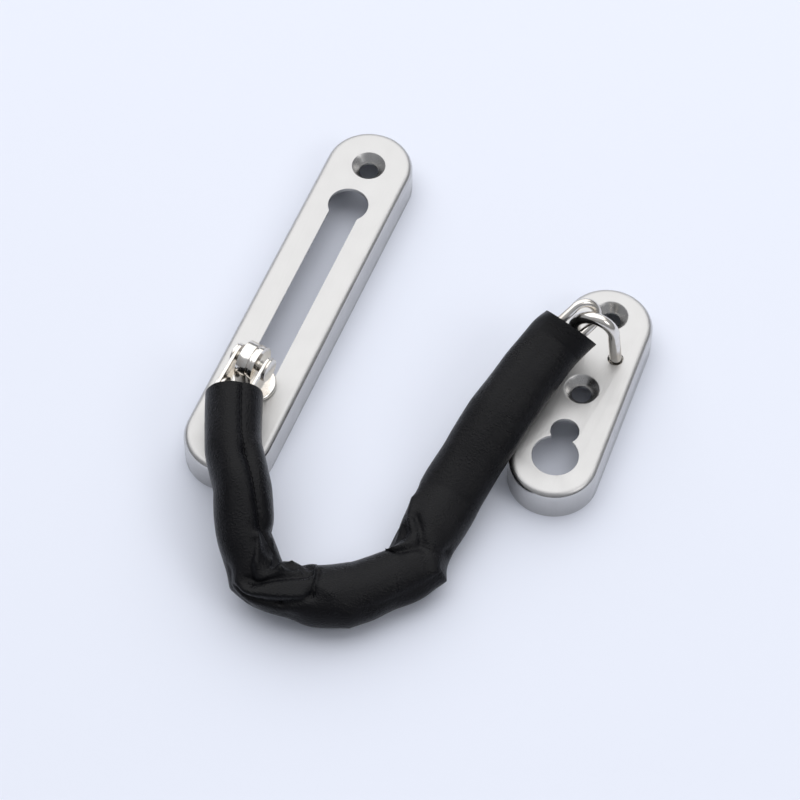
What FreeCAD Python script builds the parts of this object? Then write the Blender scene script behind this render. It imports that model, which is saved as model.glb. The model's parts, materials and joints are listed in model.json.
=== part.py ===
import FreeCAD, Part
import math
import os

from FreeCAD import Placement, Rotation, Vector

# Door chain guard, in millimetres, lying on its back on the plane z = 0.
# The origin is the middle of the track plate's back. Y runs along the track plate towards
# its keyhole, Z is up. A hidden steel chain runs from the slider in a leather sleeve to the
# staple on the keeper plate, and each chain link lies in the pose of a loose U.

# Covers: both plates are deep-drawn sheet steel with a turned-down wall.
PLATE_WIDTH = 25.0
PLATE_HEIGHT = 10.2
SHEET = 1.2
EDGE_RADIUS = 2.0
TRACK_LENGTH = 123.5
KEEPER_LENGTH = 71.8
KEEPER_YAW = 2.3

# Screw dimples: a funnel pressed into the sheet.
DIMPLE_RIM_RADIUS = 4.8
SCREW_HOLE_RADIUS = 2.7
DIMPLE_DEPTH = 2.4
DIMPLE_LAND = 0.8
TRACK_SCREW_INSET = 12.6
KEEPER_TOP_SCREW = 26.3
KEEPER_MIDDLE_SCREW = 0.2

# Slider: head under the sheet, neck through the slot, flange and eye above it.
HEAD_RADIUS = 5.5
HEAD_THICKNESS = 1.5
NECK_RADIUS = 3.8
FLANGE_RADIUS = 6.2
FLANGE_THICKNESS = 1.4
FLANGE_ROUNDING = 0.55
SPIGOT_RADIUS = 2.2
SPIGOT_LENGTH = 2.6
SPIGOT_GAP = 0.06
SHEET_GAP = 0.15
SLOT_SIDE_GAP = 0.5
KEYHOLE_GAP = 0.25
SLIDER_REST = -32.6
KEYHOLE_Y = 34.0
SLIDER_YAW = -8.0
EYE_THICKNESS = 5.0
EYE_RADIUS = 5.4
EYE_RISE = 9.4
EYE_GROOVE_DEPTH = 0.45
EYE_GROOVE_WIDTH = 0.8
EYE_GROOVE_OFFSET = 0.9

# Rivets and the two flat links next to the slider.
RIVET_RADIUS = 1.5
RIVET_GAP = 0.08
RIVET_HEAD_THICKNESS = 0.7
EYE_RIVET_HEAD_RADIUS = 3.3
LINK_RIVET_HEAD_RADIUS = 2.2
STRAP_THICKNESS = 0.9
STRAP_HALF_HEIGHT = 3.4
STRAP_PITCH = 10.0
STRAP_SPACE = 8.0
STRAP_SIDE_GAP = 0.15
SHACKLE_THICKNESS = 0.75
SHACKLE_REACH = 5.5
SHACKLE_BOW_HALF_HEIGHT = 1.4
SHACKLE_EAR_LENGTH = 0.2

# Parking keyhole of the keeper plate: a round for the head and a narrower one for the neck.
PARK_ROUND_Y = -22.7
PARK_NECK_Y = -14.4
PARK_HEAD_GAP = 0.9
PARK_NECK_GAP = 0.15

# Staple: a bent round rod with upset ends behind the keeper plate.
ROD_RADIUS = 1.7
STAPLE_HALF_SPAN = 5.6
STAPLE_Y = 12.9
STAPLE_RISE = 16.0
STAPLE_LEAN = 6.0
STAPLE_HOLE_GAP = 0.5
STAPLE_UPSET_RADIUS = 3.0
STAPLE_UPSET_THICKNESS = 1.6
STAPLE_UPSET_DROP = 1.0
HOOK_ANGLE = 36.0
HOOK_OBLIQUE = 1.36

# Welded chain inside the sleeve.
WIRE_RADIUS = 1.25
LINK_PITCH = 13.0
LINK_SLACK = 1.0
LINK_INNER_HALF_WIDTH = 2.6

# Leather sleeve: an oval tube, round at the slider and flattened along the rest.
SLEEVE_WALL = 1.0
SLEEVE_ROUND_HALF = 7.8
SLEEVE_WIDE_HALF = 8.4
SLEEVE_LOW_HALF = 6.7
SLEEVE_OVER_PLATE = 0.4
SLEEVE_CUT_GAP = 0.1
SLEEVE_MOUTH_LEAD = 0.8
SLEEVE_END_SHARE = 0.33

# How the chain lies: the compass heading of each link, from +X towards +Y, in degrees, and
# how high each joint lies, from 0 on the table to 1 over a plate.
LINK_HEADINGS = [-56, -58, -60, -38, 0, 33, 52, 83, 85, 80, 79, 77, 74, 58]
JOINT_HEIGHTS = [1.0, 0.97, 0.9, 0.6, 0.18, 0.05, 0.03, 0.01, 0.02, 0.12, 0.46, 0.83, 1.07, 1.3]
# How far each link is rolled about its own line, from standing on edge.
LINK_ROLLS = [0, 90, 0, 90, 0, 90, 0, 90, 0, 90, 12, 115, 40]
# How flat the sleeve is over each link, from 0 round to 1 flattened.
SLEEVE_FLATNESS = [0, 0, 0.2, 0.6, 1, 1, 1, 1, 1, 1, 1, 1, 1, 1]

UP = Vector(0, 0, 1)
CUTTER = 400.0


def export(shape, node):
    shape.exportStep("parts/" + node + ".step")


def stadium(length, width, low, high):
    """A solid with straight sides and round ends along Y, between two heights."""
    reach = length / 2 - width / 2
    box = Part.makeBox(width, 2 * reach, high - low, Vector(-width / 2, -reach, low))
    for side in (-1, 1):
        end = Part.makeCylinder(width / 2, high - low, Vector(0, side * reach, low))
        box = box.fuse(end)
    return box.removeSplitter()


def rounded_stadium(length, width, low, high, radius):
    """A stadium whose upper edge is rounded."""
    body = stadium(length, width, low, high)
    edges = [e for e in body.Edges if all(abs(v.Z - high) < 1e-6 for v in e.Vertexes)]
    return body.makeFillet(radius, edges)


def cover(length):
    """A drawn cover: an open-backed shell with a wall down to z = 0."""
    outer = rounded_stadium(length, PLATE_WIDTH, 0, PLATE_HEIGHT, EDGE_RADIUS)
    inner_radius = EDGE_RADIUS - SHEET
    inner = rounded_stadium(
        length - 2 * SHEET, PLATE_WIDTH - 2 * SHEET, -1, PLATE_HEIGHT - SHEET, inner_radius
    )
    return outer.cut(inner)


def upright(radius, x, y, low=-1.0, high=PLATE_HEIGHT + 1):
    return Part.makeCylinder(radius, high - low, Vector(x, y, low))


def dimple(body, y):
    """Press a screw funnel with a short straight land into the sheet, on the middle line."""
    floor = PLATE_HEIGHT - DIMPLE_DEPTH
    place = Vector(0, y, floor)
    outside = SCREW_HOLE_RADIUS + SHEET
    wall = Part.makeCone(outside, DIMPLE_RIM_RADIUS + SHEET, DIMPLE_DEPTH, place)
    land = upright(outside, 0, y, floor - DIMPLE_LAND, floor)
    funnel = Part.makeCone(SCREW_HOLE_RADIUS, DIMPLE_RIM_RADIUS, DIMPLE_DEPTH, place)
    body = body.fuse([wall, land])
    return body.cut(funnel.fuse(upright(SCREW_HOLE_RADIUS, 0, y))).removeSplitter()


def slot_half_width():
    return NECK_RADIUS + SLOT_SIDE_GAP


def keyhole_radius():
    return HEAD_RADIUS + KEYHOLE_GAP


def track_plate():
    body = cover(TRACK_LENGTH)
    for side in (-1, 1):
        body = dimple(body, side * (TRACK_LENGTH / 2 - TRACK_SCREW_INSET))
    half = slot_half_width()
    slot = Part.makeBox(
        2 * half, KEYHOLE_Y - SLIDER_REST, PLATE_HEIGHT + 2, Vector(-half, SLIDER_REST, -1)
    )
    slot = slot.fuse(upright(half, 0, SLIDER_REST))
    slot = slot.fuse(upright(keyhole_radius(), 0, KEYHOLE_Y))
    return body.cut(slot).removeSplitter()


def eye_centre():
    height = PLATE_HEIGHT + SHEET_GAP + FLANGE_THICKNESS + EYE_RISE
    return Vector(0, SLIDER_REST, height)


def slider_placement():
    """Turn a slider piece, modelled with its pin along X at the origin, to its rest yaw."""
    return Placement(eye_centre(), Rotation(UP, SLIDER_YAW))


def slider_stud():
    """Head under the sheet, neck through the slot and flange on top, as one turned piece."""
    flange_low = PLATE_HEIGHT + SHEET_GAP
    neck_low = PLATE_HEIGHT - SHEET - SHEET_GAP
    head = upright(HEAD_RADIUS, 0, SLIDER_REST, neck_low - HEAD_THICKNESS, neck_low)
    neck = upright(NECK_RADIUS, 0, SLIDER_REST, neck_low, flange_low)
    flange = upright(
        FLANGE_RADIUS, 0, SLIDER_REST, flange_low, flange_low + FLANGE_THICKNESS
    )
    rim = [e for e in flange.Edges if len(e.Vertexes) == 1]
    flange = flange.makeFillet(FLANGE_ROUNDING, rim)
    body = head.fuse([neck, flange])
    bore_depth = SPIGOT_LENGTH + SPIGOT_GAP
    top = flange_low + FLANGE_THICKNESS
    bore = upright(SPIGOT_RADIUS + SPIGOT_GAP, 0, SLIDER_REST, top - bore_depth, top + 1)
    return body.cut(bore).removeSplitter()


def eye_blank(radius, low_x, high_x):
    """The eye's outline, a round top on straight legs, between two planes across X."""
    size = high_x - low_x
    round_top = Part.makeCylinder(radius, size, Vector(low_x, 0, 0), Vector(1, 0, 0))
    drop = EYE_RISE - SPIGOT_GAP
    leg = Part.makeBox(size, 2 * radius, drop, Vector(low_x, -radius, -drop))
    return round_top.fuse(leg).removeSplitter()


def slider_eye():
    half = EYE_THICKNESS / 2
    body = eye_blank(EYE_RADIUS, -half, half)
    low = EYE_GROOVE_OFFSET - EYE_GROOVE_WIDTH / 2
    groove = eye_blank(EYE_RADIUS + 1, low, low + EYE_GROOVE_WIDTH)
    core = eye_blank(EYE_RADIUS - EYE_GROOVE_DEPTH, low - 1, low + EYE_GROOVE_WIDTH + 1)
    body = body.cut(groove.cut(core))
    hole = Part.makeCylinder(
        RIVET_RADIUS + RIVET_GAP, EYE_THICKNESS + 2, Vector(-half - 1, 0, 0), Vector(1, 0, 0)
    )
    foot = Part.makeCylinder(
        SPIGOT_RADIUS, SPIGOT_LENGTH + 1, Vector(0, 0, -EYE_RISE - SPIGOT_LENGTH)
    )
    body = body.cut(hole).fuse(foot).removeSplitter()
    body.Placement = slider_placement()
    return body


def direction(heading, rise):
    """A unit direction with a compass heading in degrees and a climb (rise over length)."""
    flat = math.sqrt(1 - rise * rise)
    angle = math.radians(heading)
    return Vector(flat * math.cos(angle), flat * math.sin(angle), rise)


def over_plate(flatness):
    """Height of the sleeve's middle line where it lies on a plate."""
    return PLATE_HEIGHT + SLEEVE_OVER_PLATE + sleeve_halves(flatness)[1]


def sleeve_halves(flatness):
    wide = SLEEVE_ROUND_HALF + flatness * (SLEEVE_WIDE_HALF - SLEEVE_ROUND_HALF)
    low = SLEEVE_ROUND_HALF + flatness * (SLEEVE_LOW_HALF - SLEEVE_ROUND_HALF)
    return wide, low


def joint_height(index):
    """Height of the chain's line at the start of welded link number index."""
    flatness = SLEEVE_FLATNESS[index]
    low = sleeve_halves(flatness)[1]
    return low + JOINT_HEIGHTS[index] * (over_plate(flatness) - low)


def strap_direction():
    """The straps fall from the eye to the height of the sleeve's line."""
    rise = (joint_height(0) - eye_centre().z) / STRAP_PITCH
    return direction(SLIDER_YAW - 90, rise)


def hook_point():
    """Where the chain's end lies on the staple's rod, and the rod's direction there."""
    angle = math.radians(HOOK_ANGLE)
    middle = Vector(0, 0, STAPLE_RISE - STAPLE_HALF_SPAN)
    arm = Vector(-math.sin(angle), 0, math.cos(angle)) * STAPLE_HALF_SPAN
    along = Vector(math.cos(angle), 0, math.sin(angle))
    lean = Rotation(Vector(0, 1, 0), -STAPLE_LEAN)
    point = lean.multVec(middle + arm) + Vector(0, STAPLE_Y, PLATE_HEIGHT)
    turn = Rotation(UP, KEEPER_YAW)
    return turn.multVec(point), turn.multVec(lean.multVec(along))


def chain_joints():
    """Every joint of the chain from the eye's rivet to the staple's rod."""
    places = [eye_centre()]
    places.append(places[-1] + strap_direction() * STRAP_PITCH)
    places.append(places[-1] + direction(SLIDER_YAW - 90, 0) * SHACKLE_REACH)
    last = len(LINK_HEADINGS) - 1
    for index, heading in enumerate(LINK_HEADINGS):
        length = LINK_PITCH
        if index < last:
            end = joint_height(index + 1)
        else:
            length -= hook_reach()
            end = hook_point()[0].z
        rise = (end - places[-1].z) / length
        places.append(places[-1] + direction(heading, rise) * length)
    return places


def hook_reach():
    """From the middle of the staple's rod to the last link's end of pitch beyond it."""
    return ROD_RADIUS * HOOK_OBLIQUE + LINK_SLACK / 2


def link_line(index):
    """Start, direction and far end of welded link number index."""
    places = chain_joints()
    start, end = places[index + 2], places[index + 3]
    along = (end - start).normalize()
    if index == len(LINK_HEADINGS) - 1:
        end = end + along * hook_reach()
    return start, along, end


def frame_of(along, side):
    """A rotation that takes X to a direction and Y as near as can be to another."""
    z = along.cross(side).normalize()
    y = z.cross(along).normalize()
    return Rotation(along, y, z, "XYZ")


def across(along):
    """The level direction to the left of a line."""
    return UP.cross(along).normalize()


def link_turn(index):
    """Rotation of a welded link: X along it, Y across its loop, Z through its loop."""
    along = link_line(index)[1]
    if index == len(LINK_HEADINGS) - 1:
        rod = hook_point()[1]
        return frame_of(along, rod.cross(along))
    roll = Rotation(along, 90 + LINK_ROLLS[index])
    return frame_of(along, roll.multVec(across(along)))


def welded_link(index):
    """A closed loop of round wire with straight sides and round ends."""
    start, along, end = link_line(index)
    half_gap = LINK_SLACK / 2
    bend = LINK_INNER_HALF_WIDTH + WIRE_RADIUS
    reach = (end - start).Length / 2 + WIRE_RADIUS + half_gap - bend
    loop = None
    for side in (-1, 1):
        bow = Part.makeTorus(
            bend, WIRE_RADIUS, Vector(side * reach, 0, 0), UP, -180, 180, 180
        )
        bow.rotate(Vector(side * reach, 0, 0), UP, -90 * side)
        bar = Part.makeCylinder(
            WIRE_RADIUS, 2 * reach, Vector(-reach, side * bend, 0), Vector(1, 0, 0)
        )
        loop = bow.fuse(bar) if loop is None else loop.fuse([bow, bar])
    loop.Placement = Placement((start + end) * 0.5, link_turn(index))
    return loop


def strap_frame():
    """Placement of the pair of straps: X along them, Y along the rivets."""
    places = chain_joints()
    along = (places[1] - places[0]).normalize()
    return Placement(places[0], frame_of(along, across(along)))


def strap_plate(pitch, thickness, side_y):
    """One flat link with round ends and two rivet holes, its face at side_y or beyond."""
    low = side_y if side_y > 0 else side_y - thickness
    step = Vector(0, 1, 0)
    body = Part.makeBox(
        pitch, thickness, 2 * STRAP_HALF_HEIGHT, Vector(0, low, -STRAP_HALF_HEIGHT)
    )
    for x in (0, pitch):
        body = body.fuse(
            Part.makeCylinder(STRAP_HALF_HEIGHT, thickness, Vector(x, low, 0), step)
        )
    for x in (0, pitch):
        hole = Part.makeCylinder(
            RIVET_RADIUS + RIVET_GAP, thickness + 2, Vector(x, low - 1, 0), step
        )
        body = body.cut(hole)
    return body.removeSplitter()


def strap(side):
    body = strap_plate(STRAP_PITCH, STRAP_THICKNESS, side * STRAP_SPACE / 2)
    body.Placement = strap_frame()
    return body


def rivet(place, turn, head_radius):
    """A rivet along Y, with a flat head outside each strap."""
    outside = STRAP_SPACE / 2 + STRAP_THICKNESS
    step = Vector(0, 1, 0)
    body = Part.makeCylinder(RIVET_RADIUS, 2 * outside, Vector(0, -outside, 0), step)
    for low in (-outside - RIVET_HEAD_THICKNESS, outside):
        head = Part.makeCylinder(
            head_radius, RIVET_HEAD_THICKNESS, Vector(0, low, 0), step
        )
        body = body.fuse(head)
    body.Placement = Placement(place, turn)
    return body


def shackle_frame():
    places = chain_joints()
    along = (places[2] - places[1]).normalize()
    side = strap_frame().Rotation.multVec(Vector(0, 1, 0))
    return Placement(places[1], frame_of(along, side))


def shackle():
    """A strip bent to a U: two ears on the straps' far rivet and a bow round the chain."""
    outer = STRAP_SPACE / 2 - STRAP_SIDE_GAP
    inner = outer - SHACKLE_THICKNESS
    pull = SHACKLE_REACH + LINK_SLACK / 2
    middle = pull - inner
    ears = None
    for side in (-1, 1):
        low = inner if side > 0 else -outer
        ear = Part.makeBox(
            max(middle, SHACKLE_EAR_LENGTH),
            SHACKLE_THICKNESS,
            2 * STRAP_HALF_HEIGHT,
            Vector(0, low, -STRAP_HALF_HEIGHT),
        )
        end = Part.makeCylinder(
            STRAP_HALF_HEIGHT, SHACKLE_THICKNESS, Vector(0, low, 0), Vector(0, 1, 0)
        )
        ear = ear.fuse(end)
        ears = ear if ears is None else ears.fuse(ear)
    ring = Part.makeCylinder(
        outer, 2 * STRAP_HALF_HEIGHT, Vector(middle, 0, -STRAP_HALF_HEIGHT)
    )
    hollow = Part.makeCylinder(
        inner, 2 * STRAP_HALF_HEIGHT + 2, Vector(middle, 0, -STRAP_HALF_HEIGHT - 1)
    )
    front = Part.makeBox(CUTTER, CUTTER, CUTTER, Vector(middle, -CUTTER / 2, -CUTTER / 2))
    bow = ring.cut(hollow).common(front)
    body = ears.fuse(bow)
    bridge = STRAP_HALF_HEIGHT - SHACKLE_BOW_HALF_HEIGHT
    for side in (-1, 1):
        low = SHACKLE_BOW_HALF_HEIGHT if side > 0 else -SHACKLE_BOW_HALF_HEIGHT - bridge
        trim = Part.makeBox(CUTTER, CUTTER, bridge, Vector(middle, -CUTTER / 2, low))
        body = body.cut(trim)
    hole = Part.makeCylinder(
        RIVET_RADIUS + RIVET_GAP, 2 * outer + 2, Vector(0, -outer - 1, 0), Vector(0, 1, 0)
    )
    body = body.cut(hole)
    body.Placement = shackle_frame()
    return body.removeSplitter()


def sleeve_points():
    """The sleeve's middle line: its mouth round the shackle, then the chain's joints."""
    places = chain_joints()
    lead = (places[3] - places[1]).normalize() * SLEEVE_MOUTH_LEAD
    start, along, end = link_line(len(LINK_HEADINGS) - 1)
    last = start + along * (SLEEVE_END_SHARE * (end - start).Length)
    return [places[1] + lead] + places[3:-1] + [last]


def oval(wide, low, length, at):
    """An elliptical bar along X, wide across Y and low across Z, from x = at."""
    major, minor = max(wide, low), min(wide, low)
    curve = Part.Ellipse(Vector(0, 0, 0), major, minor)
    face = Part.Face(Part.Wire(curve.toShape()))
    if low > wide:
        face.rotate(Vector(0, 0, 0), UP, 90)
    face.Placement = Placement(
        Vector(at, 0, 0), Rotation(Vector(0, 1, 0), Vector(0, 0, 1), Vector(1, 0, 0), "XYZ")
    )
    return face.extrude(Vector(length, 0, 0))


def half_space(place, outward):
    """A large block beyond a plane, on the side that outward points to."""
    block = Part.makeBox(CUTTER, CUTTER, CUTTER, Vector(0, -CUTTER / 2, -CUTTER / 2))
    block.Placement = Placement(place, Rotation(Vector(1, 0, 0), outward))
    return block


def sleeve_piece(index):
    """The length of sleeve round one welded link, cut square to the bend at each end."""
    points = sleeve_points()
    start, end = points[index], points[index + 1]
    along = (end - start).normalize()
    wide, low = sleeve_halves(SLEEVE_FLATNESS[index])
    spare = 2 * SLEEVE_WIDE_HALF
    length = (end - start).Length + 2 * spare
    body = oval(wide, low, length, -spare).cut(
        oval(wide - SLEEVE_WALL, low - SLEEVE_WALL, length + 2, -spare - 1)
    )
    body.Placement = Placement(start, frame_of(along, across(along)))
    before, after = along, along
    if index > 0:
        before = (along + (start - points[index - 1]).normalize()).normalize()
    if index < len(points) - 2:
        after = (along + (points[index + 2] - end).normalize()).normalize()
    half_gap = SLEEVE_CUT_GAP / 2
    body = body.cut(half_space(start + before * half_gap, -before))
    return body.cut(half_space(end - after * half_gap, after))


def keeper_placement():
    """The keeper plate lies where its staple holds the chain's last link."""
    hook = hook_point()[0]
    end = chain_joints()[-1]
    return Placement(Vector(end.x - hook.x, end.y - hook.y, 0), Rotation(UP, KEEPER_YAW))


def keeper_plate():
    body = cover(KEEPER_LENGTH)
    body = dimple(body, KEEPER_TOP_SCREW)
    body = dimple(body, KEEPER_MIDDLE_SCREW)
    opening = upright(HEAD_RADIUS + PARK_HEAD_GAP, 0, PARK_ROUND_Y)
    opening = opening.fuse(upright(NECK_RADIUS + PARK_NECK_GAP, 0, PARK_NECK_Y))
    for side in (-1, 1):
        opening = opening.fuse(
            upright(ROD_RADIUS + STAPLE_HOLE_GAP, side * STAPLE_HALF_SPAN, STAPLE_Y)
        )
    body = body.cut(opening).removeSplitter()
    body.Placement = keeper_placement()
    return body


def staple():
    """Round rod bent to a U, its ends upset under the sheet."""
    depth = SHEET + STAPLE_UPSET_DROP
    low = -depth - STAPLE_UPSET_THICKNESS
    shoulder = STAPLE_RISE - STAPLE_HALF_SPAN
    body = Part.makeTorus(
        STAPLE_HALF_SPAN, ROD_RADIUS, Vector(0, 0, 0), UP, -180, 180, 180
    )
    body.rotate(Vector(0, 0, 0), Vector(1, 0, 0), 90)
    body.translate(Vector(0, 0, shoulder))
    for side in (-1, 1):
        x = side * STAPLE_HALF_SPAN
        leg = Part.makeCylinder(ROD_RADIUS, shoulder - low, Vector(x, 0, low))
        upset = Part.makeCylinder(
            STAPLE_UPSET_RADIUS, STAPLE_UPSET_THICKNESS, Vector(x, 0, low)
        )
        body = body.fuse([leg, upset])
    body = body.removeSplitter()
    lean = Placement(
        Vector(0, STAPLE_Y, PLATE_HEIGHT), Rotation(Vector(0, 1, 0), -STAPLE_LEAN)
    )
    body.Placement = keeper_placement().multiply(lean)
    return body


def main():
    os.makedirs("parts", exist_ok=True)
    export(track_plate(), "track_plate")
    export(slider_stud(), "slider_stud")
    export(slider_eye(), "slider_eye")
    places = chain_joints()
    turn = strap_frame().Rotation
    export(rivet(places[0], turn, EYE_RIVET_HEAD_RADIUS), "eye_rivet")
    export(rivet(places[1], turn, LINK_RIVET_HEAD_RADIUS), "shackle_rivet")
    export(strap(1), "strap_right")
    export(strap(-1), "strap_left")
    export(shackle(), "shackle")
    for index in range(len(LINK_HEADINGS)):
        export(welded_link(index), "chain_link_%02d" % (index + 1))
        export(sleeve_piece(index), "sleeve_%02d" % (index + 1))
    export(keeper_plate(), "keeper_plate")
    export(staple(), "staple")


main()
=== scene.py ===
import json
import math

import bmesh
import bpy
from mathutils import Matrix, Vector, noise

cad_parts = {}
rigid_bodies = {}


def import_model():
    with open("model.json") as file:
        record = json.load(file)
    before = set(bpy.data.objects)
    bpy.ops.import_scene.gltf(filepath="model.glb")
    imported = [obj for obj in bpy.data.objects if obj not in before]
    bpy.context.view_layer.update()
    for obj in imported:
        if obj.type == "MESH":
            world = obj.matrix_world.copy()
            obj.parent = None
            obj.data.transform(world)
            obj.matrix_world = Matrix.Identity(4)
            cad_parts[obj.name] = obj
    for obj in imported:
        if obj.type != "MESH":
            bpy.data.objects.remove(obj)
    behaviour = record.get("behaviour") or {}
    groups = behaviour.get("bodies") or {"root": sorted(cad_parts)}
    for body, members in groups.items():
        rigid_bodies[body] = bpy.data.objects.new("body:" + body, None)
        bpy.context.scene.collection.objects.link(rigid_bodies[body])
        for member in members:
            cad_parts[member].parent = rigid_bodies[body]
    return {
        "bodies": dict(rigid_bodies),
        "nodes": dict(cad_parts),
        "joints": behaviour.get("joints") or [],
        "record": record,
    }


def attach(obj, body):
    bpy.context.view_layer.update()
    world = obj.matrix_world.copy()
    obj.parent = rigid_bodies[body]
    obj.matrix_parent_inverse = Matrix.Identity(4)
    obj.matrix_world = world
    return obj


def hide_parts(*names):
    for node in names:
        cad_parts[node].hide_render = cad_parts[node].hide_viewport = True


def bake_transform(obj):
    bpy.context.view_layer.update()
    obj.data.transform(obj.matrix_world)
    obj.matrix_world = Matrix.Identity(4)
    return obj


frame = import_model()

bl_info = {
    "name": "Door chain guard",
    "version": (1, 0, 0),
    "blender": (4, 5, 0),
    "location": "3D View > Sidebar > Door Guard",
    "description": "Finishes a door chain guard: steel covers, slider, staple and leather sleeve",
    "category": "Add Mesh",
}

MM = 0.001
UP = Vector((0, 0, 1))
LINKS = sum(1 for name in frame["bodies"] if name.startswith("link_"))
JOINT = {joint["name"]: joint for joint in frame["joints"]}
MOUNT = {mount["name"]: mount for mount in frame["record"]["mounts"]}


# Settings that a user would change


class SteelSettings(bpy.types.PropertyGroup):
    satin_colour: bpy.props.FloatVectorProperty(
        name="Satin colour", description="Colour of the brushed faces", subtype="COLOR",
        size=3, min=0, max=1, default=(0.66, 0.652, 0.642),
    )
    polish_colour: bpy.props.FloatVectorProperty(
        name="Polish colour", description="Colour of the plated slider, links and staple",
        subtype="COLOR", size=3, min=0, max=1, default=(0.76, 0.74, 0.705),
    )
    satin_roughness: bpy.props.FloatProperty(
        name="Satin roughness", description="Roughness of the brushed faces",
        subtype="FACTOR", min=0, max=1, default=0.5,
    )
    polish_roughness: bpy.props.FloatProperty(
        name="Polish roughness", description="Roughness of the polished steel",
        subtype="FACTOR", min=0, max=1, default=0.13,
    )
    edge_softness: bpy.props.FloatProperty(
        name="Edge softness", description="Width of the softened cut edges",
        subtype="DISTANCE", min=0, default=0.16 * MM,
    )
    lip_softness: bpy.props.FloatProperty(
        name="Lip softness", description="Width of the rounded lip of a screw dimple",
        subtype="DISTANCE", min=0, default=1.3 * MM,
    )


class SleeveSettings(bpy.types.PropertyGroup):
    colour: bpy.props.FloatVectorProperty(
        name="Leather colour", description="Colour of the dyed leather", subtype="COLOR",
        size=3, min=0, max=1, default=(0.0024, 0.0024, 0.0031),
    )
    wall: bpy.props.FloatProperty(
        name="Wall", description="Thickness of the leather", subtype="DISTANCE",
        min=0, default=0.95 * MM,
    )
    round_half: bpy.props.FloatProperty(
        name="Round half width", description="Half width where the sleeve is round",
        subtype="DISTANCE", min=0, default=7.8 * MM,
    )
    wide_half: bpy.props.FloatProperty(
        name="Flat half width", description="Half width where the sleeve is flattened",
        subtype="DISTANCE", min=0, default=8.9 * MM,
    )
    low_half: bpy.props.FloatProperty(
        name="Flat half height", description="Half height where the sleeve is flattened",
        subtype="DISTANCE", min=0, default=6.7 * MM,
    )


class StageSettings(bpy.types.PropertyGroup):
    floor_colour: bpy.props.FloatVectorProperty(
        name="Floor colour", description="Colour of the table", subtype="COLOR",
        size=3, min=0, max=1, default=(0.80, 0.83, 0.92),
    )
    key_power: bpy.props.FloatProperty(
        name="Key power", description="Power of the large soft light, in watts",
        min=0, default=47.0,
    )
    sky: bpy.props.FloatProperty(
        name="Sky", description="Strength of the even light all round", min=0, default=0.42
    )


# Node helpers


def shader(name):
    """A new material with its Principled BSDF, ready for its pattern."""
    material = bpy.data.materials.new(name)
    material.use_nodes = True
    nodes = material.node_tree.nodes
    return material, nodes, material.node_tree.links, nodes["Principled BSDF"]


def add(nodes, kind, **values):
    node = nodes.new(kind)
    for key, value in values.items():
        if key in node.inputs:
            node.inputs[key].default_value = value
        else:
            setattr(node, key, value)
    return node


def maths(nodes, links, operation, first, second):
    node = nodes.new("ShaderNodeMath")
    node.operation = operation
    for socket, value in zip(node.inputs, (first, second)):
        if isinstance(value, (int, float)):
            socket.default_value = value
        else:
            links.new(value, socket)
    return node.outputs[0]


def new_group(name, inputs, outputs):
    """A shader node group with named sockets, given as (name, socket kind, default)."""
    tree = bpy.data.node_groups.new(name, "ShaderNodeTree")
    for label, kind, default in inputs:
        socket = tree.interface.new_socket(label, in_out="INPUT", socket_type=kind)
        if default is not None:
            socket.default_value = default
    for label, kind in outputs:
        tree.interface.new_socket(label, in_out="OUTPUT", socket_type=kind)
    return tree, tree.nodes.new("NodeGroupInput"), tree.nodes.new("NodeGroupOutput")


def use_group(nodes, tree, **values):
    node = nodes.new("ShaderNodeGroup")
    node.node_tree = tree
    for key, value in values.items():
        node.inputs[key.replace("_", " ")].default_value = value
    return node


def brushing():
    """Fine parallel scratches with slow variation, as a height and a mask."""
    tree, start, end = new_group(
        "Brushing",
        [
            ("Vector", "NodeSocketVector", None),
            ("Across", "NodeSocketFloat", 3600.0),
            ("Along", "NodeSocketFloat", 120.0),
        ],
        [("Height", "NodeSocketFloat"), ("Mask", "NodeSocketFloat")],
    )
    nodes, links = tree.nodes, tree.links
    size = nodes.new("ShaderNodeCombineXYZ")
    links.new(start.outputs["Across"], size.inputs["X"])
    links.new(start.outputs["Along"], size.inputs["Y"])
    links.new(start.outputs["Along"], size.inputs["Z"])
    scaled = nodes.new("ShaderNodeVectorMath")
    scaled.operation = "MULTIPLY"
    links.new(start.outputs["Vector"], scaled.inputs[0])
    links.new(size.outputs[0], scaled.inputs[1])
    lines = add(nodes, "ShaderNodeTexNoise", Scale=1.0, Detail=3.0, Roughness=0.6)
    links.new(scaled.outputs[0], lines.inputs["Vector"])
    cloud = add(nodes, "ShaderNodeTexNoise", Scale=180.0, Detail=4.0, Roughness=0.55)
    links.new(start.outputs["Vector"], cloud.inputs["Vector"])
    links.new(lines.outputs["Fac"], end.inputs["Height"])
    mixed = maths(nodes, links, "MULTIPLY", lines.outputs["Fac"], cloud.outputs["Fac"])
    links.new(mixed, end.inputs["Mask"])
    return tree


def handling():
    """Small smudges and pits left by handling, as a mask."""
    tree, start, end = new_group(
        "Handling",
        [("Vector", "NodeSocketVector", None), ("Size", "NodeSocketFloat", 220.0)],
        [("Mask", "NodeSocketFloat")],
    )
    nodes, links = tree.nodes, tree.links
    cloud = add(nodes, "ShaderNodeTexNoise", Detail=6.0, Roughness=0.62, Distortion=0.4)
    links.new(start.outputs["Vector"], cloud.inputs["Vector"])
    links.new(start.outputs["Size"], cloud.inputs["Scale"])
    ramp = add(nodes, "ShaderNodeMapRange")
    ramp.inputs["From Min"].default_value = 0.42
    ramp.inputs["From Max"].default_value = 0.68
    links.new(cloud.outputs["Fac"], ramp.inputs["Value"])
    links.new(ramp.outputs["Result"], end.inputs["Mask"])
    return tree


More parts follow.
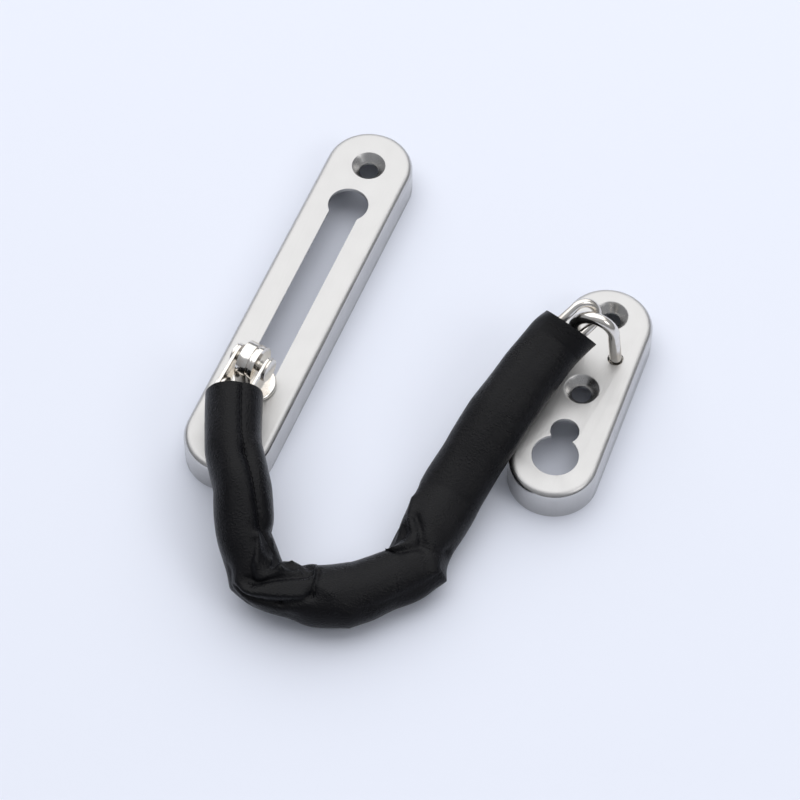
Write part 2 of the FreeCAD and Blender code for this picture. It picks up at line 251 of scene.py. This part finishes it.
def hide_grain():
    """Leather grain: close pebbles, fine pores and cross wrinkles, as a height."""
    tree, start, end = new_group(
        "Hide grain",
        [
            ("Vector", "NodeSocketVector", None),
            ("Pebbles", "NodeSocketFloat", 2600.0),
            ("Wrinkles", "NodeSocketFloat", 0.5),
        ],
        [("Height", "NodeSocketFloat"), ("Tone", "NodeSocketFloat")],
    )
    nodes, links = tree.nodes, tree.links
    warp = add(nodes, "ShaderNodeTexNoise", Scale=900.0, Detail=2.0)
    links.new(start.outputs["Vector"], warp.inputs["Vector"])
    shift = nodes.new("ShaderNodeVectorMath")
    shift.operation = "MULTIPLY_ADD"
    links.new(warp.outputs["Color"], shift.inputs[0])
    shift.inputs[1].default_value = (0.0005, 0.0005, 0.0005)
    links.new(start.outputs["Vector"], shift.inputs[2])
    pebbles = add(nodes, "ShaderNodeTexVoronoi", feature="F1", Randomness=0.9)
    links.new(shift.outputs[0], pebbles.inputs["Vector"])
    links.new(start.outputs["Pebbles"], pebbles.inputs["Scale"])
    stretched = nodes.new("ShaderNodeVectorMath")
    stretched.operation = "MULTIPLY"
    stretched.inputs[1].default_value = (330.0, 1500.0, 330.0)
    links.new(shift.outputs[0], stretched.inputs[0])
    wrinkles = add(nodes, "ShaderNodeTexNoise", Scale=1.0, Detail=4.0, Roughness=0.65)
    links.new(stretched.outputs[0], wrinkles.inputs["Vector"])
    weight = maths(nodes, links, "MULTIPLY", wrinkles.outputs["Fac"], start.outputs["Wrinkles"])
    height = maths(nodes, links, "ADD", pebbles.outputs["Distance"], weight)
    links.new(height, end.inputs["Height"])
    tone = add(nodes, "ShaderNodeTexNoise", Scale=120.0, Detail=5.0, Roughness=0.6)
    links.new(start.outputs["Vector"], tone.inputs["Vector"])
    links.new(tone.outputs["Fac"], end.inputs["Tone"])
    return tree


def stitched_seam():
    """A closed seam with small stitches, from the distance to its line, as a depth."""
    tree, start, end = new_group(
        "Stitched seam", [("Vector", "NodeSocketVector", None)], [("Depth", "NodeSocketFloat")]
    )
    nodes, links = tree.nodes, tree.links
    parts = nodes.new("ShaderNodeSeparateXYZ")
    links.new(start.outputs["Vector"], parts.inputs[0])
    turns = maths(nodes, links, "MULTIPLY", parts.outputs["Y"], 2 * math.pi / (1.5 * MM))
    wave = maths(nodes, links, "SINE", turns, 0.0)
    sway = maths(nodes, links, "MULTIPLY", wave, 0.1 * MM)
    shifted = maths(nodes, links, "ADD", parts.outputs["X"], sway)
    gap = maths(nodes, links, "ABSOLUTE", shifted, 0.0)
    line = range_of(nodes, links, gap, 5.0, 0.0, 0.1 * MM, 0.42 * MM)
    lip = range_of(nodes, links, gap, 1.2, 0.0, 0.4 * MM, 1.3 * MM)
    depth = maths(nodes, links, "ADD", line, lip)
    links.new(depth, end.inputs["Depth"])
    return tree


def group(name, maker):
    return bpy.data.node_groups.get(name) or maker()


def range_of(nodes, links, source, low, high, start=0.0, stop=1.0):
    node = nodes.new("ShaderNodeMapRange")
    node.inputs["From Min"].default_value = start
    node.inputs["From Max"].default_value = stop
    node.inputs["To Min"].default_value = low
    node.inputs["To Max"].default_value = high
    links.new(source, node.inputs["Value"])
    return node.outputs["Result"]


def blend_colours(nodes, links, mask, first, second):
    node = nodes.new("ShaderNodeMix")
    node.data_type = "RGBA"
    node.inputs["A"].default_value = (*first, 1)
    node.inputs["B"].default_value = (*second, 1)
    links.new(mask, node.inputs["Factor"])
    return node.outputs["Result"]


def bump(nodes, links, shader_node, height, strength, distance):
    node = nodes.new("ShaderNodeBump")
    node.inputs["Strength"].default_value = strength
    node.inputs["Distance"].default_value = distance
    links.new(height, node.inputs["Height"])
    links.new(node.outputs["Normal"], shader_node.inputs["Normal"])


def cover_steel(name, turn):
    """Satin face brushed along the plate, with polished edges and walls."""
    steel = bpy.context.scene.guard_steel
    material, nodes, links, surface = shader(name)
    place = nodes.new("ShaderNodeTexCoord")
    turned = nodes.new("ShaderNodeMapping")
    turned.inputs["Rotation"].default_value = (0, 0, turn)
    links.new(place.outputs["Object"], turned.inputs["Vector"])
    lines = use_group(nodes, group("Brushing", brushing))
    links.new(turned.outputs[0], lines.inputs["Vector"])
    marks = use_group(nodes, group("Handling", handling))
    links.new(turned.outputs[0], marks.inputs["Vector"])
    facing = nodes.new("ShaderNodeSeparateXYZ")
    links.new(place.outputs["Normal"], facing.inputs[0])
    flat = range_of(nodes, links, facing.outputs["Z"], 0.0, 1.0, 0.55, 0.97)
    satin = range_of(
        nodes, links, lines.outputs["Mask"], steel.satin_roughness - 0.07,
        steel.satin_roughness + 0.09, 0.1, 0.5,
    )
    polish = range_of(
        nodes, links, marks.outputs["Mask"], steel.polish_roughness + 0.03,
        steel.polish_roughness + 0.12,
    )
    rough = nodes.new("ShaderNodeMix")
    links.new(flat, rough.inputs["Factor"])
    links.new(polish, rough.inputs["A"])
    links.new(satin, rough.inputs["B"])
    links.new(rough.outputs["Result"], surface.inputs["Roughness"])
    darker = [value * 0.78 for value in steel.satin_colour]
    tone = blend_colours(nodes, links, lines.outputs["Mask"], darker, steel.satin_colour)
    links.new(tone, surface.inputs["Base Color"])
    surface.inputs["Metallic"].default_value = 1.0
    height = maths(nodes, links, "MULTIPLY", lines.outputs["Height"], flat)
    bump(nodes, links, surface, height, 0.45, 0.00006)
    return material


def bright_steel(name, tint=1.0, roughness=0.0):
    """Plated and tumbled steel: bright, with soft ripples and small smudges."""
    steel = bpy.context.scene.guard_steel
    material, nodes, links, surface = shader(name)
    place = nodes.new("ShaderNodeTexCoord")
    marks = use_group(nodes, group("Handling", handling), Size=420.0)
    links.new(place.outputs["Object"], marks.inputs["Vector"])
    base = [value * tint for value in steel.polish_colour]
    warmer = [base[0] * 0.94, base[1] * 0.9, base[2] * 0.86]
    tone = blend_colours(nodes, links, marks.outputs["Mask"], base, warmer)
    links.new(tone, surface.inputs["Base Color"])
    low = steel.polish_roughness + roughness
    rough = range_of(nodes, links, marks.outputs["Mask"], low, low + 0.1)
    links.new(rough, surface.inputs["Roughness"])
    surface.inputs["Metallic"].default_value = 1.0
    ripple = add(nodes, "ShaderNodeTexNoise", Scale=650.0, Detail=3.0)
    links.new(place.outputs["Object"], ripple.inputs["Vector"])
    bump(nodes, links, surface, ripple.outputs["Fac"], 0.12, 0.0001)
    return material


def sleeve_leather(name):
    """Black leather, with grain along its own surface and a soft sheen."""
    sleeve = bpy.context.scene.guard_sleeve
    material, nodes, links, surface = shader(name)
    place = nodes.new("ShaderNodeUVMap")
    place.uv_map = "Cut"
    grain = use_group(nodes, group("Hide grain", hide_grain), Pebbles=2300.0, Wrinkles=0.8)
    links.new(place.outputs[0], grain.inputs["Vector"])
    lighter = [value * 1.9 for value in sleeve.colour]
    tone = blend_colours(nodes, links, grain.outputs["Tone"], sleeve.colour, lighter)
    links.new(tone, surface.inputs["Base Color"])
    rough = range_of(nodes, links, grain.outputs["Tone"], 0.22, 0.36, 0.3, 0.7)
    links.new(rough, surface.inputs["Roughness"])
    surface.inputs["Specular IOR Level"].default_value = 0.14
    surface.inputs["Sheen Weight"].default_value = 0.01
    surface.inputs["Sheen Roughness"].default_value = 0.45
    surface.inputs["Sheen Tint"].default_value = (0.75, 0.8, 1.0, 1.0)
    seam = nodes.new("ShaderNodeUVMap")
    seam.uv_map = "Seam"
    line = use_group(nodes, group("Stitched seam", stitched_seam))
    links.new(seam.outputs[0], line.inputs["Vector"])
    height = maths(nodes, links, "SUBTRACT", grain.outputs["Height"], line.outputs["Depth"])
    bump(nodes, links, surface, height, 0.7, 0.00016)
    return material


# Mesh helpers


def link_object(name, mesh):
    piece = bpy.data.objects.new(name, mesh)
    bpy.context.scene.collection.objects.link(piece)
    return piece


def merged_copy(node):
    """A CAD node's solid with its loose triangles merged and its flats made whole."""
    shape = bmesh.new()
    shape.from_mesh(frame["nodes"][node].data)
    bmesh.ops.remove_doubles(shape, verts=shape.verts, dist=0.002 * MM)
    bmesh.ops.dissolve_limit(
        shape, angle_limit=math.radians(0.4), verts=shape.verts, edges=shape.edges
    )
    return shape


def on_lip(edge, screws, reach):
    """True for an edge on the round rim of a screw dimple."""
    for screw in screws:
        if all((v.co.xy - screw.xy).length < reach for v in edge.verts):
            top = max(v.co.z for v in edge.verts)
            return top > screw.z + 1.8 * MM
    return False


def soften(shape, screws=(), reach=5.2 * MM):
    """Weights for the edge rounding: 1 on dimple lips and a little on other corners."""
    steel = bpy.context.scene.guard_steel
    weight = shape.edges.layers.float.new("bevel_weight_edge")
    plain = steel.edge_softness / steel.lip_softness
    for edge in shape.edges:
        if len(edge.link_faces) == 2 and edge.calc_face_angle() > math.radians(28):
            edge[weight] = 1.0 if on_lip(edge, screws, reach) else plain
        edge.smooth = True
    for face in shape.faces:
        face.smooth = True


def rounded_piece(shape, name, body, nodes, material):
    """Finish a piece that follows the CAD, with its corners rounded."""
    mesh = bpy.data.meshes.new(name)
    shape.to_mesh(mesh)
    shape.free()
    piece = link_object(name, mesh)
    mesh.materials.append(material)
    edge = piece.modifiers.new("Soft edges", "BEVEL")
    edge.limit_method = "WEIGHT"
    edge.width = bpy.context.scene.guard_steel.lip_softness
    edge.segments = 4
    edge.harden_normals = True
    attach(piece, body)
    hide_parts(*nodes)
    return piece


# Sleeve


# How far the last cut of the sleeve is turned from square, in radians.
END_TWIST = 0.30
# Where the sleeve's middle leaves the chain's line: share along the line, spread, then how
# far towards the inside of the bend and up, in mm.
SHIFTS = (
    (1.5, 0.9, 0.7, 0.0),
    (2.9, 0.9, 0.8, 0.0),
    (3.9, 0.4, -0.7, 0.0),
    (4.65, 0.9, 0.8, 1.4),
    (7.9, 0.5, 0.5, 0.0),
)
# The seam's line: share along the line and degrees round from the top.
SEAM = ((-0.5, 16), (1.4, 19), (3.0, 30), (3.6, 40))
# Folds pressed into the leather. Each runs between two places, given as share along the
# line and degrees round from the top towards the inside of the bend, then its half width
# and depth in mm. A negative depth is a ridge.
FOLDS = (
    ((-0.5, 16), (1.4, 19), 1.6, 0.45),
    ((1.4, 19), (3.0, 30), 1.5, 0.9),
    ((2.95, 28), (3.75, 38), 1.3, 2.0),
    ((3.1, 36), (3.95, 42), 3.2, 2.3),
    ((3.2, 66), (4.3, 84), 2.8, 2.6),
    ((3.0, 98), (4.0, 124), 3.0, 1.6),
    ((3.25, 2), (3.85, -38), 1.0, 1.3),
    ((3.8, -42), (4.85, 22), 0.9, 1.9),
    ((3.85, 34), (4.7, 26), 2.2, 2.2),
    ((4.25, 84), (4.75, 44), 1.0, 1.9),
    ((3.9, -54), (4.8, -30), 1.5, -1.2),
    ((3.8, -70), (4.5, -60), 0.8, 1.2),
    ((4.5, -60), (5.0, -22), 0.8, 1.3),
    ((5.0, -22), (5.2, 34), 0.8, 1.1),
    ((3.72, -58), (3.72, -125), 2.0, -1.0),
    ((4.7, -84), (4.7, -110), 4.5, 0.9),
    ((5.6, -66), (5.6, -120), 2.4, -0.6),
    ((6.45, -84), (6.45, -110), 4.5, 0.8),
    ((7.3, -56), (7.3, -120), 2.2, -1.1),
    ((3.0, 22), (3.6, -14), 1.2, -1.5),
    ((3.75, 46), (4.25, 8), 0.9, -1.7),
    ((3.3, 62), (3.7, 20), 0.8, -1.5),
    ((3.95, 78), (4.4, 96), 2.8, 2.4),
    ((4.35, 44), (4.6, 22), 0.8, -0.9),
    ((3.5, -74), (4.0, -100), 2.0, 0.8),
    ((4.8, 20), (5.4, -20), 1.5, -0.6),
    ((6.95, 88), (8.0, 100), 3.4, 2.6),
    ((7.0, 36), (7.5, -14), 1.0, 1.5),
    ((7.5, -14), (8.1, 24), 1.0, 1.3),
    ((7.45, 62), (8.7, 80), 1.3, 1.5),
    ((7.2, 60), (7.6, 30), 2.0, 2.0),
    ((7.35, 14), (7.0, 50), 0.9, -0.9),
    ((7.75, 20), (8.5, 52), 1.2, -0.8),
    ((7.45, -26), (7.7, -70), 1.4, 0.9),
    ((7.2, -56), (7.3, -90), 1.6, -0.8),
    ((9.0, 8), (12.4, -6), 4.2, 0.5),
    ((6.0, -60), (7.2, -64), 2.6, 0.5),
)
# The greatest depth, in mm, that folds may add up to, and how they fade from their lines.
DEEPEST = 2.5
FOLD_GAIN = 1.15
FOLD_FADE = 1.35
FOLD_REACH = 3.0
# The skin's slow unevenness: its depth in mm, and its pace along and round the sleeve.
UNEVEN = 0.35
UNEVEN_ALONG, UNEVEN_ROUND = 1.3, 1.6
# Length along the sleeve that one link stands for, where folds are measured over the skin.
FOLD_PITCH = 12.9 * MM
# How strongly the middle line is pulled straight past each joint.
SMOOTH_PULL = 0.3
# How far the mouth stands past the shackle's joint, and how far along the last link the
# sleeve ends.
MOUTH_LEAD = 0.8 * MM
END_SHARE = 0.62
# Points round a ring, and rings for each link.
RING = 112
RINGS_PER_LINK = 20


def sleeve_line():
    """Points of the sleeve's middle line, from its mouth at the slider to its other end."""
    mouth = Vector(JOINT["shackle_pitch"]["pos_m"])
    line = [Vector(JOINT[f"chain_{kind(i)}_{i:02d}"]["pos_m"]) for i in range(2, LINKS + 1)]
    rod = Vector(JOINT["keeper_swing"]["pos_m"])
    line.insert(0, mouth + (line[0] - mouth).normalized() * MOUTH_LEAD)
    line.append(line[-1].lerp(rod, END_SHARE))
    return line


def kind(index):
    """What a link's joint does: links turn level and lift by turns."""
    return "turn" if index % 2 else "lift"


def smooth_line(line, share):
    """A point on a smooth curve through the line's points; share counts them from 0."""
    last = len(line) - 2
    index = min(max(int(share), 0), last)
    t = share - index
    before = line[max(index - 1, 0)]
    start, stop = line[index], line[index + 1]
    after = line[min(index + 2, last + 1)]
    first, second = (stop - before) * SMOOTH_PULL, (after - start) * SMOOTH_PULL
    return (
        start * (2 * t**3 - 3 * t**2 + 1)
        + first * (t**3 - 2 * t**2 + t)
        + stop * (-2 * t**3 + 3 * t**2)
        + second * (t**3 - t**2)
    )


def eased(low, high, value):
    """A smooth step from 0 to 1 between two values."""
    t = min(max((value - low) / (high - low), 0), 1)
    return t * t * (3 - 2 * t)


def halves(share):
    """Half width and half height of the sleeve at a place along it."""
    sleeve = bpy.context.scene.guard_sleeve
    flat = eased(1.6, 4.6, share)
    wide = sleeve.round_half + flat * (sleeve.wide_half - sleeve.round_half)
    low = sleeve.round_half + flat * (sleeve.low_half - sleeve.round_half)
    end = eased(LINKS - 3.5, LINKS - 1, share)
    return wide - 0.5 * MM * end, low - 0.2 * MM * end


def bump_at(value, middle, spread):
    """A bell curve of height 1 round a middle."""
    return math.exp(-(((value - middle) / spread) ** 2))


def station(line, share):
    """Place, run, left and up of the sleeve at a share along its line."""
    step = 0.18
    place = smooth_line(line, share)
    run = smooth_line(line, min(share + step, len(line) - 1)) - smooth_line(
        line, max(share - step, 0)
    )
    run.normalize()
    end = eased(len(line) - 2.2, len(line) - 1, share)
    run = Matrix.Rotation(END_TWIST * end, 3, UP) @ run
    left = UP.cross(run).normalized()
    for at, spread, out, lift in SHIFTS:
        near = bump_at(share, at, spread) * MM
        place = place + left * (out * near) + UP * (lift * near)
    return place, run, left, run.cross(left)


def fold_gap(share, angle, fold, girth):
    """Distance over the skin from a place to a fold's line."""
    (s0, a0), (s1, a1) = fold[:2]
    turn = (angle - (a0 + a1) / 2 + 180) % 360 - 180 + (a0 + a1) / 2
    start = Vector((s0 * FOLD_PITCH, a0 / 360 * girth))
    run = Vector((s1 * FOLD_PITCH, a1 / 360 * girth)) - start
    here = Vector((share * FOLD_PITCH, turn / 360 * girth)) - start
    along = min(max(here.dot(run) / run.length_squared, 0), 1)
    return (here - run * along).length


def fold_depth(share, angle, girth):
    """How far the folds press the skin in at a place."""
    total = 0.0
    for fold in FOLDS:
        gap = fold_gap(share, angle, fold, girth) / (fold[2] * MM)
        if gap < FOLD_REACH:
            total += FOLD_GAIN * fold[3] * MM * math.exp(-(gap**FOLD_FADE))
    turn = math.radians(angle)
    across, up = math.cos(turn) * UNEVEN_ROUND, math.sin(turn) * UNEVEN_ROUND
    total += noise.noise(Vector((share * UNEVEN_ALONG, across, up))) * UNEVEN * MM
    over = max(total - 0.6 * DEEPEST * MM, 0)
    return total - over + over / (1 + over / (0.4 * DEEPEST * MM))


def seam_gap(share, angle, girth):
    """Signed distance round the skin from the seam, or a large one past its end."""
    for (s0, a0), (s1, a1) in zip(SEAM, SEAM[1:]):
        if s0 <= share <= s1:
            middle = a0 + (a1 - a0) * (share - s0) / (s1 - s0)
            return ((angle - middle + 180) % 360 - 180) / 360 * girth
    return girth / 2


def sleeve_ring(shape, line, share, inset, layers):
    """The edges of one closed ring of the sleeve, on its skin or inset into its wall."""
    wide, low = halves(share)
    place, run, left, up = station(line, share)
    made = bmesh.ops.create_circle(shape, segments=RING, radius=1.0)["verts"]
    girth = math.pi * (wide + low)
    for vert in made:
        around = math.atan2(vert.co.y, vert.co.x)
        angle = math.degrees(around)
        side, rise = math.sin(around), math.cos(around)
        grow = 1 - fold_depth(share, angle, girth) / wide
        vert[layers["along"]] = share * FOLD_PITCH
        vert[layers["round"]] = (angle % 360) / 360 * girth
        vert[layers["seam"]] = seam_gap(share, angle, girth)
        across = side * (wide * grow - inset)
        vert.co = place + left * across + up * (rise * (low * grow - inset))
    return list({edge for vert in made for edge in vert.link_edges})


def sleeve_skin(shape, line, low, high, steps, inset, layers):
    """A tube through rings; gives the edges of its first and last ring."""
    rings = []
    for step in range(steps + 1):
        share = low + (high - low) * step / steps
        rings.append(sleeve_ring(shape, line, share, inset, layers))
        if step:
            bmesh.ops.bridge_loops(shape, edges=rings[-2] + rings[-1])
    return rings[0], rings[-1]


def sleeve_length(line, low, high, steps, name):
    """The leather between two shares along the line, as a wall with thickness."""
    shape = bmesh.new()
    layers = {
        "along": shape.verts.layers.float.new("along"),
        "round": shape.verts.layers.float.new("round"),
        "seam": shape.verts.layers.float.new("seam"),
    }
    wall = bpy.context.scene.guard_sleeve.wall
    outer = sleeve_skin(shape, line, low, high, steps, 0.0, layers)
    inner = sleeve_skin(shape, line, low, high, steps, wall, layers)
    for first, second in zip(outer, inner):
        bmesh.ops.bridge_loops(shape, edges=first + second)
    bmesh.ops.recalc_face_normals(shape, faces=shape.faces)
    rims = {edge for ring in (*outer, *inner) for edge in ring}
    for edge in shape.edges:
        edge.smooth = edge not in rims
    cut = shape.loops.layers.uv.new("Cut")
    seam = shape.loops.layers.uv.new("Seam")
    girth = math.pi * sum(halves((low + high) / 2))
    for face in shape.faces:
        face.smooth = True
        turns = [loop.vert[layers["round"]] for loop in face.loops]
        for loop, turn in zip(face.loops, turns):
            if max(turns) - min(turns) > girth / 2 and turn < girth / 2:
                turn += girth
            loop[cut].uv = (turn, loop.vert[layers["along"]])
            gap = loop.vert[layers["seam"]]
            loop[seam].uv = (girth if abs(gap) > girth / 4 else gap, loop.vert[layers["along"]])
    mesh = bpy.data.meshes.new(name)
    shape.to_mesh(mesh)
    shape.free()
    return link_object(name, mesh)


# Operators


class GUARD_OT_stage(bpy.types.Operator):
    """Make the table, the lights and the camera"""

    bl_idname = "guard.stage"
    bl_label = "Stage"

    def execute(self, context):
        self.camera(context)
        self.floor(context)
        self.lights(context)
        return {"FINISHED"}

    def camera(self, context):
        lens = bpy.data.cameras.new("Camera")
        lens.lens = 147.4
        lens.sensor_width = 36.0
        camera = bpy.data.objects.new("Camera", lens)
        context.scene.collection.objects.link(camera)
        camera.location = Vector((226.5, -480.1, 754.3)) * MM
        aim = Vector((36.3, -15.8, 0.0)) * MM - camera.location
        camera.rotation_euler = aim.to_track_quat("-Z", "Y").to_euler()
        context.scene.camera = camera

    def floor(self, context):
        shape = bmesh.new()
        bmesh.ops.create_grid(shape, x_segments=8, y_segments=8, size=2.5)
        mesh = bpy.data.meshes.new("table")
        shape.to_mesh(mesh)
        shape.free()
        table = link_object("table", mesh)
        material, nodes, links, surface = shader("Table")
        place = nodes.new("ShaderNodeTexCoord")
        cloud = add(nodes, "ShaderNodeTexNoise", Scale=3.0, Detail=4.0)
        links.new(place.outputs["Object"], cloud.inputs["Vector"])
        colour = context.scene.guard_stage.floor_colour
        paler = [min(value * 1.02, 1) for value in colour]
        tone = blend_colours(nodes, links, cloud.outputs["Fac"], colour, paler)
        links.new(tone, surface.inputs["Base Color"])
        surface.inputs["Roughness"].default_value = 0.75
        surface.inputs["Specular IOR Level"].default_value = 0.14
        mesh.materials.append(material)

    def lights(self, context):
        stage = context.scene.guard_stage
        context.scene.view_settings.view_transform = "Standard"
        world = bpy.data.worlds.new("Studio")
        context.scene.world = world
        world.use_nodes = True
        sky = world.node_tree.nodes["Background"]
        sky.inputs["Color"].default_value = (0.93, 0.95, 1.0, 1)
        nodes, links = world.node_tree.nodes, world.node_tree.links
        place = nodes.new("ShaderNodeTexCoord")
        parts = nodes.new("ShaderNodeSeparateXYZ")
        links.new(place.outputs["Generated"], parts.inputs[0])
        rise = range_of(nodes, links, parts.outputs["Z"], 0.5 * stage.sky, 1.3 * stage.sky)
        links.new(rise, sky.inputs["Strength"])
        panels = (
            ("key", (-0.38, 0.88, 1.6), 3.4, stage.key_power),
            ("fill", (1.3, -0.2, 1.2), 0.6, stage.key_power * 0.07),
        )
        for name, place, size, power in panels:
            lamp = bpy.data.lights.new(name, "AREA")
            lamp.shape = "SQUARE"
            lamp.size = size
            lamp.energy = power
            light = bpy.data.objects.new(name, lamp)
            context.scene.collection.objects.link(light)
            light.location = place
            aim = Vector((0.03, 0.0, 0.0)) - light.location
            light.rotation_euler = aim.to_track_quat("-Z", "Y").to_euler()


class GUARD_OT_covers(bpy.types.Operator):
    """Make the track plate's and the keeper plate's drawn covers"""

    bl_idname = "guard.covers"
    bl_label = "Covers"

    def execute(self, context):
        pattern = MOUNT["track_screws"]
        half = pattern["dims"]["spacing_y_mm"] * MM / 2
        middle = Vector(pattern["pos_m"])
        track_screws = [middle + Vector((0, side * half, 0)) for side in (-1, 1)]
        top, lower = (
            Vector(MOUNT[name]["pos_m"]) for name in ("keeper_top_screw", "keeper_middle_screw")
        )
        turn = math.atan2(top.x - lower.x, top.y - lower.y)
        plates = (
            ("track_cover", "track_plate", "track", track_screws, 0.0),
            ("keeper_cover", "keeper_plate", "keeper", [top, lower], turn),
        )
        for name, node, body, screws, yaw in plates:
            shape = merged_copy(node)
            soften(shape, screws)
            material = cover_steel(f"Satin {body} steel", yaw)
            rounded_piece(shape, name, body, [node], material)
        return {"FINISHED"}


class GUARD_OT_slider(bpy.types.Operator):
    """Make the slider's stud and its grooved eye"""

    bl_idname = "guard.slider"
    bl_label = "Slider"

    def execute(self, context):
        for name, node, body in (
            ("slider_button", "slider_stud", "slider"),
            ("slider_lug", "slider_eye", "eye"),
        ):
            shape = merged_copy(node)
            soften(shape)
            material = bright_steel(f"Bright {body} steel")
            rounded_piece(shape, name, body, [node], material)
        return {"FINISHED"}


class GUARD_OT_straps(bpy.types.Operator):
    """Make the flat links, their rivets and the shackle"""

    bl_idname = "guard.straps"
    bl_label = "Straps and rivets"

    def execute(self, context):
        material = bright_steel("Bright strap steel", 0.96, 0.02)
        for node in ("strap_left", "strap_right", "eye_rivet", "shackle_rivet", "shackle"):
            body = "shackle" if node == "shackle" else "straps"
            shape = merged_copy(node)
            soften(shape)
            rounded_piece(shape, f"{node}_piece", body, [node], material)
        return {"FINISHED"}


class GUARD_OT_staple(bpy.types.Operator):
    """Make the bent rod of the keeper plate"""

    bl_idname = "guard.staple"
    bl_label = "Staple"

    def execute(self, context):
        shape = merged_copy("staple")
        soften(shape)
        material = bright_steel("Bright staple steel")
        rounded_piece(shape, "staple_rod", "keeper", ["staple"], material)
        return {"FINISHED"}


class GUARD_OT_chain(bpy.types.Operator):
    """Finish the welded chain inside the sleeve"""

    bl_idname = "guard.chain"
    bl_label = "Chain"

    def execute(self, context):
        material = bright_steel("Bright chain steel", 0.92, 0.05)
        for index in range(1, LINKS + 1):
            link = frame["nodes"][f"chain_link_{index:02d}"]
            for slot in link.material_slots:
                slot.material = material
        return {"FINISHED"}


class GUARD_OT_sleeve(bpy.types.Operator):
    """Make the leather sleeve, in lengths along the chain"""

    bl_idname = "guard.sleeve"
    bl_label = "Leather sleeve"

    def execute(self, context):
        line = sleeve_line()
        leather = sleeve_leather("Black leather")
        last = len(line) - 1
        for index in range(1, LINKS):
            low = index - 0.5 if index > 1 else 0.0
            high = index + 0.5 if index < LINKS - 1 else last
            steps = round((high - low) * RINGS_PER_LINK)
            name = f"sleeve_length_{index:02d}"
            piece = sleeve_length(line, low, high, steps, name)
            piece.data.materials.append(leather)
            nodes = [f"sleeve_{index:02d}"]
            if index == LINKS - 1:
                nodes.append(f"sleeve_{LINKS:02d}")
            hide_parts(*nodes)
            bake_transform(piece)
        return {"FINISHED"}


class GUARD_PT_panel(bpy.types.Panel):
    """Lists the steps that make the guard"""

    bl_label = "Door chain guard"
    bl_space_type = "VIEW_3D"
    bl_region_type = "UI"
    bl_category = "Door Guard"

    def draw(self, context):
        for step in STEPS:
            self.layout.operator(step.bl_idname)
        for settings in ("guard_steel", "guard_sleeve", "guard_stage"):
            group_of = getattr(context.scene, settings)
            for name in group_of.__annotations__:
                self.layout.prop(group_of, name)


STEPS = (
    GUARD_OT_stage, GUARD_OT_covers, GUARD_OT_slider, GUARD_OT_straps, GUARD_OT_staple,
    GUARD_OT_chain, GUARD_OT_sleeve,
)
CLASSES = (SteelSettings, SleeveSettings, StageSettings, *STEPS, GUARD_PT_panel)


def register():
    for item in CLASSES:
        bpy.utils.register_class(item)
    scene = bpy.types.Scene
    scene.guard_steel = bpy.props.PointerProperty(type=SteelSettings)
    scene.guard_sleeve = bpy.props.PointerProperty(type=SleeveSettings)
    scene.guard_stage = bpy.props.PointerProperty(type=StageSettings)


def unregister():
    for name in ("guard_steel", "guard_sleeve", "guard_stage"):
        delattr(bpy.types.Scene, name)
    for item in reversed(CLASSES):
        bpy.utils.unregister_class(item)


def main():
    register()
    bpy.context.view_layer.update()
    for step in STEPS:
        category, name = step.bl_idname.split(".")
        getattr(getattr(bpy.ops, category), name)()


if __name__ == "__main__":
    main()
